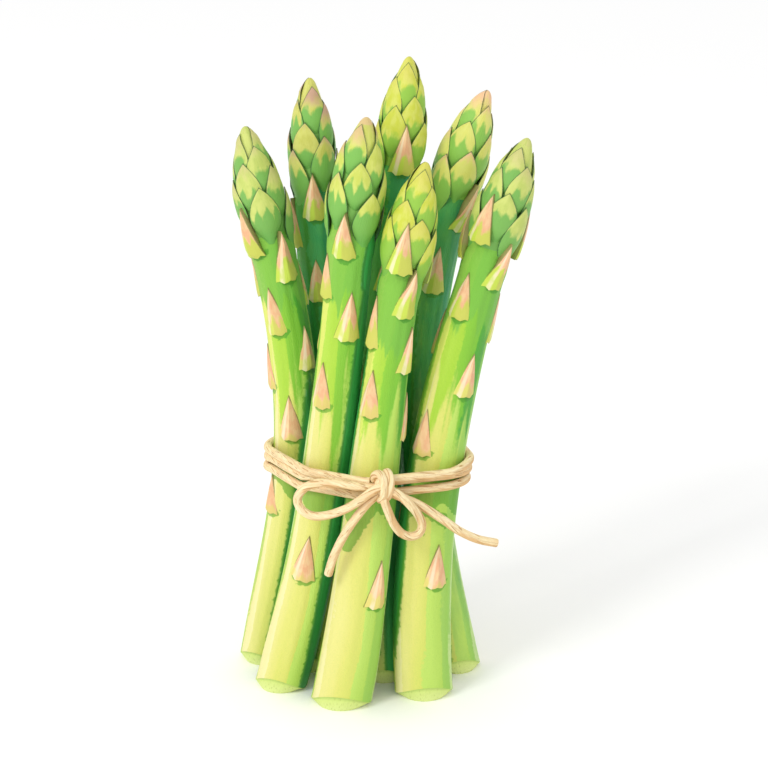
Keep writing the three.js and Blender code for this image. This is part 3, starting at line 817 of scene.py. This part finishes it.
def lay_blade(skin, spear, blade, profile, slot):
    """A scale or a bract: its outer face, its edges and its inner face, in rings from root to point."""
    base, angle, length, width, chance = (blade[k] for k in ("base", "angle", "length", "width", "chance"))
    along = profile["rows"][:, None]
    outer = np.array(profile["columns"])
    across = np.concatenate([outer, outer[::-2][1:-1]])
    is_inner = np.arange(len(across)) >= len(outer)
    height = base + (along + profile["start"](across) * (1 - along)) * length
    height = np.minimum(height, spear["height"] - 0.05)
    left = spear["height"] - height

    core = profile["seat"](spear, height)
    ridge, edge = profile["ridge"](along), profile["edge"](along)
    arch = profile["arch"](np.abs(across))
    reach = core + profile["lift"](height) * (edge + (ridge - edge) * arch)
    thick = profile["thick"] * (0.35 + 0.65 * arch) * np.clip(left / TIP_THINNING, 0.15, 1)
    inside = reach - thick * (1 - profile["sharp"] * along ** 3)
    if profile["solid"]:  # down into the flesh
        inside = np.minimum(inside, soft_core(spear, height) - SUNK)
    nearing = np.clip(left / TIP_ROUNDING, 0, 1)
    reach = np.where(is_inner, inside, reach) * np.sqrt(nearing * (2 - nearing))
    half = profile["half"](along) * width / 2
    wrap = np.minimum(half / np.maximum(core, profile["slim"]), WIDEST_WRAP)
    points = place(spear, height, angle + across * wrap, reach)

    brink = np.minimum((1 - np.abs(across)) * wrap * reach, (1 - along) * length * 0.6)
    brink = np.where(is_inner, profile["inner"], brink)
    facts = dict(across=across, chance=chance)
    drip = along - profile["border"](across, chance)
    skin.grid(points, slot, along=along, drip=drip, brink=brink, height=height, **facts)
    root = np.stack([np.broadcast_to(points[0].mean(axis=0), points[0].shape), points[0]])
    skin.grid(root, slot, along=0, drip=-1, brink=0, height=height[0], **facts)


def ease(at, stops):
    """Interpolation in a list of [position, value] stops, with the corners rounded."""
    positions, values = np.array(stops).T
    return sum(np.interp(at + step, positions, values) for step in STOP_EASING) / len(STOP_EASING)


def bract_profile(spear):
    """The form of a head's bracts, by v from root to point and u across: thin shells on the bud."""

    def half(v):
        swell = np.sin(math.pi / 2 * np.clip(v / 0.4, 0, 1))
        rest = np.clip((v - 0.4) / 0.6, 0, 1)
        taper = (1 - rest ** 2.1) * (1 - 0.16 * rest)
        return np.where(v < 0.4, 0.5 + 0.5 * swell, np.maximum(taper, 0.012))

    def lift(height):
        depth = outline_radius(spear, height) - core_radius(spear, height)
        return np.maximum(depth, np.minimum(BRACTS["lift"], 0.2 * (spear["height"] - height)))

    def border(u, chance):
        middle = 0.54 + 0.09 * math.sin(9 * chance)
        drips = (3.1 + 0.9 * math.sin(17 * chance)) * math.pi
        return middle + (0.08 + 0.04 * math.sin(13 * chance)) * np.cos(drips * u + 4 * chance)

    return dict(
        rows=np.concatenate([np.linspace(0, 0.9, 16), [0.94, 0.97, 0.99, 1]]),
        columns=[-1, -0.96, -0.86, -0.7, -0.45, -0.2, 0, 0.2, 0.45, 0.7, 0.86, 0.96, 1],
        start=lambda u: 0,
        half=half,
        lift=lift,
        ridge=lambda v: ease(v, [[0, 0], [0.15, 0.42], [0.3, 0.76], [0.45, 0.9], [0.8, 1.08], [1, 0.96]]),
        edge=lambda v: ease(v, [[0, -0.4], [0.15, 0], [0.3, 0.42], [0.45, 0.66], [0.8, 0.9], [1, 0.95]]),
        arch=lambda u: 1 - u ** 2.2,
        border=border,
        seat=soft_core, thick=1.7, slim=1.2, sharp=0.8, inner=0.2, solid=False,
    )


def scale_profile():
    """The form of the stem's scales, by v from root to point and u across: ridged wedges with a wavy hem."""

    def border(u, chance):
        waves = (2.4 + 0.7 * math.sin(17 * chance)) * math.pi
        return 0.36 + 0.1 * np.cos(waves * u + chance) + 0.08 * chance

    return dict(
        rows=np.concatenate([[0, 0.02, 0.05], np.linspace(0.1, 0.95, 12), [0.98, 1]]),
        columns=[-1, -0.95, -0.85, -0.65, -0.4, -0.15, -0.05, 0, 0.05, 0.15, 0.4, 0.65, 0.85, 0.95, 1],
        start=lambda u: 0.026 * np.cos(3 * math.pi * u) - 0.06 * (1 - u ** 2),
        half=lambda v: np.maximum((1 - v) ** 0.92, 0.01),
        lift=lambda height: SCALE["lift"],
        ridge=lambda v: (1 - 0.7 * v ** 2.2) * (0.8 + 0.2 * smooth(v / 0.06)),
        edge=lambda v: -0.15 + 0.3 * v ** 2,
        arch=lambda u: (1 - u) ** 0.8,
        border=border,
        seat=soft_outline, thick=1.5, slim=SCALE["width"] / 2, sharp=0, inner=0, solid=True,
    )


def scale_blades(name, spear, seed):
    """The scales of the stem: they wind down from the neck with ever longer gaps, where there is room.
    Each kind of draw has its own hundred of the spear's seeds, here and for the bracts."""
    rule = spear["scales"]
    base, gap, count = rule["top"], rule["gap"], 0
    while base > SCALE["lowest"]:
        angle = math.radians(rule["angle"] + count * rule["turn"] + SCATTER["turn"] * draw(seed + count))
        room = TIE["height"] - TIE_CLEARANCE - base  # the tie keeps the scales below it short
        length = SCALE["length"] * (1 + SCATTER["length"] * draw(seed + count + 100))
        length = min(length, room) if room > SCALE["shortest"] else length
        under_tie = room <= SCALE["shortest"] and base < TIE["height"] + TIE_CLEARANCE - 1
        corners = []
        for along, side in ((0.1, 0), (0.5, 0), (1, 0), (0.1, -0.5), (0.1, 0.5)):
            height = base + along * length
            radius = float(outline_radius(spear, height))
            turn = angle + side * SCALE["width"] / radius
            corners.append(place(spear, height, turn, radius + (EDGE_LIFT if side else SCALE["lift"])))
        if not under_tie and all(is_clear(name, corner) for corner in corners):
            chance = draw(seed + count + 400)
            yield dict(base=base, angle=angle, length=length, width=SCALE["width"], chance=chance)
        base -= gap
        gap *= rule["growth"]
        count += 1


def bract_blades(spear, seed):
    """The bracts of the head: from the neck, or the top scale if it is lower, they wind on up to the tip."""
    rule = spear["scales"]
    first = min(rule["top"], neck_height(spear) + 2) - BRACTS["overlap"]
    room = spear["height"] - BRACTS["bare"] - BRACTS["length"][1] - first
    for i in range(BRACTS["count"]):
        share = (i + 1) / BRACTS["count"]
        turn = rule["angle"] - (i + 1) * np.sign(rule["turn"]) * BRACTS["turn"]
        length, width = (np.interp(share, [0, 1], BRACTS[size]) for size in ("length", "width"))
        is_topmost = i >= BRACTS["count"] - 2
        yield dict(
            base=first + room * share,
            angle=math.radians(turn),
            length=length * (1 + SCATTER["bract"] * draw(seed + i + 200)),
            width=width * (1 + SCATTER["bract"] * draw(seed + i + 300)),
            chance=1 if is_topmost else draw(seed + i + 500),
        )


def add_spears():
    skin_paint, cut_paint, scale_paint = stem_material(), cut_material(), scale_material()
    head_paints = {palette: bract_material(palette, colours) for palette, colours in HEAD_PALETTES.items()}
    for number, (name, spear) in enumerate(SPEARS.items()):
        seed = (number + 1) * 1000
        skin = Skin(SPEAR_FACTS)
        scales = list(scale_blades(name, spear, seed))
        lay_stem(skin, spear, draw(seed), scales)
        for blade in scales:
            lay_blade(skin, spear, blade, scale_profile(), SCALES)
        profile = bract_profile(spear)
        for blade in bract_blades(spear, seed):
            lay_blade(skin, spear, blade, profile, HEAD)
        materials = [skin_paint, cut_paint, scale_paint, head_paints[spear["palette"]]]
        piece = skin.build(name + "_flesh", materials)
        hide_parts(name)


# ---------------------------------------------------------------- twine

CORE_ROWS = 12
CORE_LATITUDE = 0.49 * math.pi  # of the first and last rings of the knot's core


def lay_knot_core(skin):
    """The egg inside the knot's wraps, which closes it between them."""
    turn = np.arange(CORD_SIDES) * 2 * math.pi / CORD_SIDES
    rows = np.linspace(-CORE_LATITUDE, CORE_LATITUDE, CORE_ROWS)[:, None]
    height = np.broadcast_to(np.sin(rows), (CORE_ROWS, CORD_SIDES))
    ball = np.stack([np.cos(rows) * np.cos(turn), np.cos(rows) * np.sin(turn), height], axis=-1)
    skin.grid(ball * KNOT["radii"] + KNOT["centre"], along=rows * 4, turn=turn)


def add_twine(material):
    for name, (route, far_end) in FREE_CORDS.items():
        skin = Skin(CORD_FACTS)
        centres = (lay_cord(skin, route) - MIDDLE) * MM
        piece = skin.build(name, [material])
        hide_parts("twine")
        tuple(centres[0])
    skin = Skin(CORD_FACTS)
    for strand in STRANDS:
        lay_cord(skin, strand_route(**strand), ends=False)
    for route in KNOT_CORDS:
        lay_cord(skin, route, radius=KNOT["cord"], spacing=WRAP_SPACING)
    lay_knot_core(skin)
    piece = skin.build("twine_tie", [material])
    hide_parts("twine")


# ---------------------------------------------------------------- studio

WORLD_LIGHT = 0.94
FLOOR_REACH = 6
KEY_LIGHT = dict(energy=6.5, size=0.35, colour=(1, 0.99, 0.96), place=(-0.7, -0.8, 1), target=(0, 0, 0.11))


def add_key_light():
    data = bpy.data.lights.new("key", "AREA")
    data.energy, data.color, data.size = KEY_LIGHT["energy"], KEY_LIGHT["colour"], KEY_LIGHT["size"]
    light = bpy.data.objects.new("key", data)
    light.location = KEY_LIGHT["place"]
    aim = Vector(KEY_LIGHT["target"]) - Vector(KEY_LIGHT["place"])
    light.rotation_euler = aim.to_track_quat("-Z", "Y").to_euler()
    bpy.context.collection.objects.link(light)


def add_floor():
    mesh = bpy.data.meshes.new("floor")
    corners = [(x * FLOOR_REACH, y * FLOOR_REACH, 0) for x, y in ((-1, -1), (1, -1), (1, 1), (-1, 1))]
    mesh.from_pydata(corners, [], [(0, 1, 2, 3)])
    mesh.materials.append(Material("floor_paper", 0.9, 0.0).finish("#ffffff"))
    floor = bpy.data.objects.new("floor", mesh)
    bpy.context.collection.objects.link(floor)


def add_studio():
    add_floor()
    world = bpy.data.worlds.new("studio")
    world.use_nodes = True
    background = world.node_tree.nodes["Background"]
    background.inputs["Color"].default_value = (1, 1, 1, 1)
    background.inputs["Strength"].default_value = WORLD_LIGHT
    bpy.context.scene.world = world
    add_key_light()
    bpy.context.scene.view_settings.view_transform = "Standard"


add_twine(twine_material())
add_spears()
add_studio()
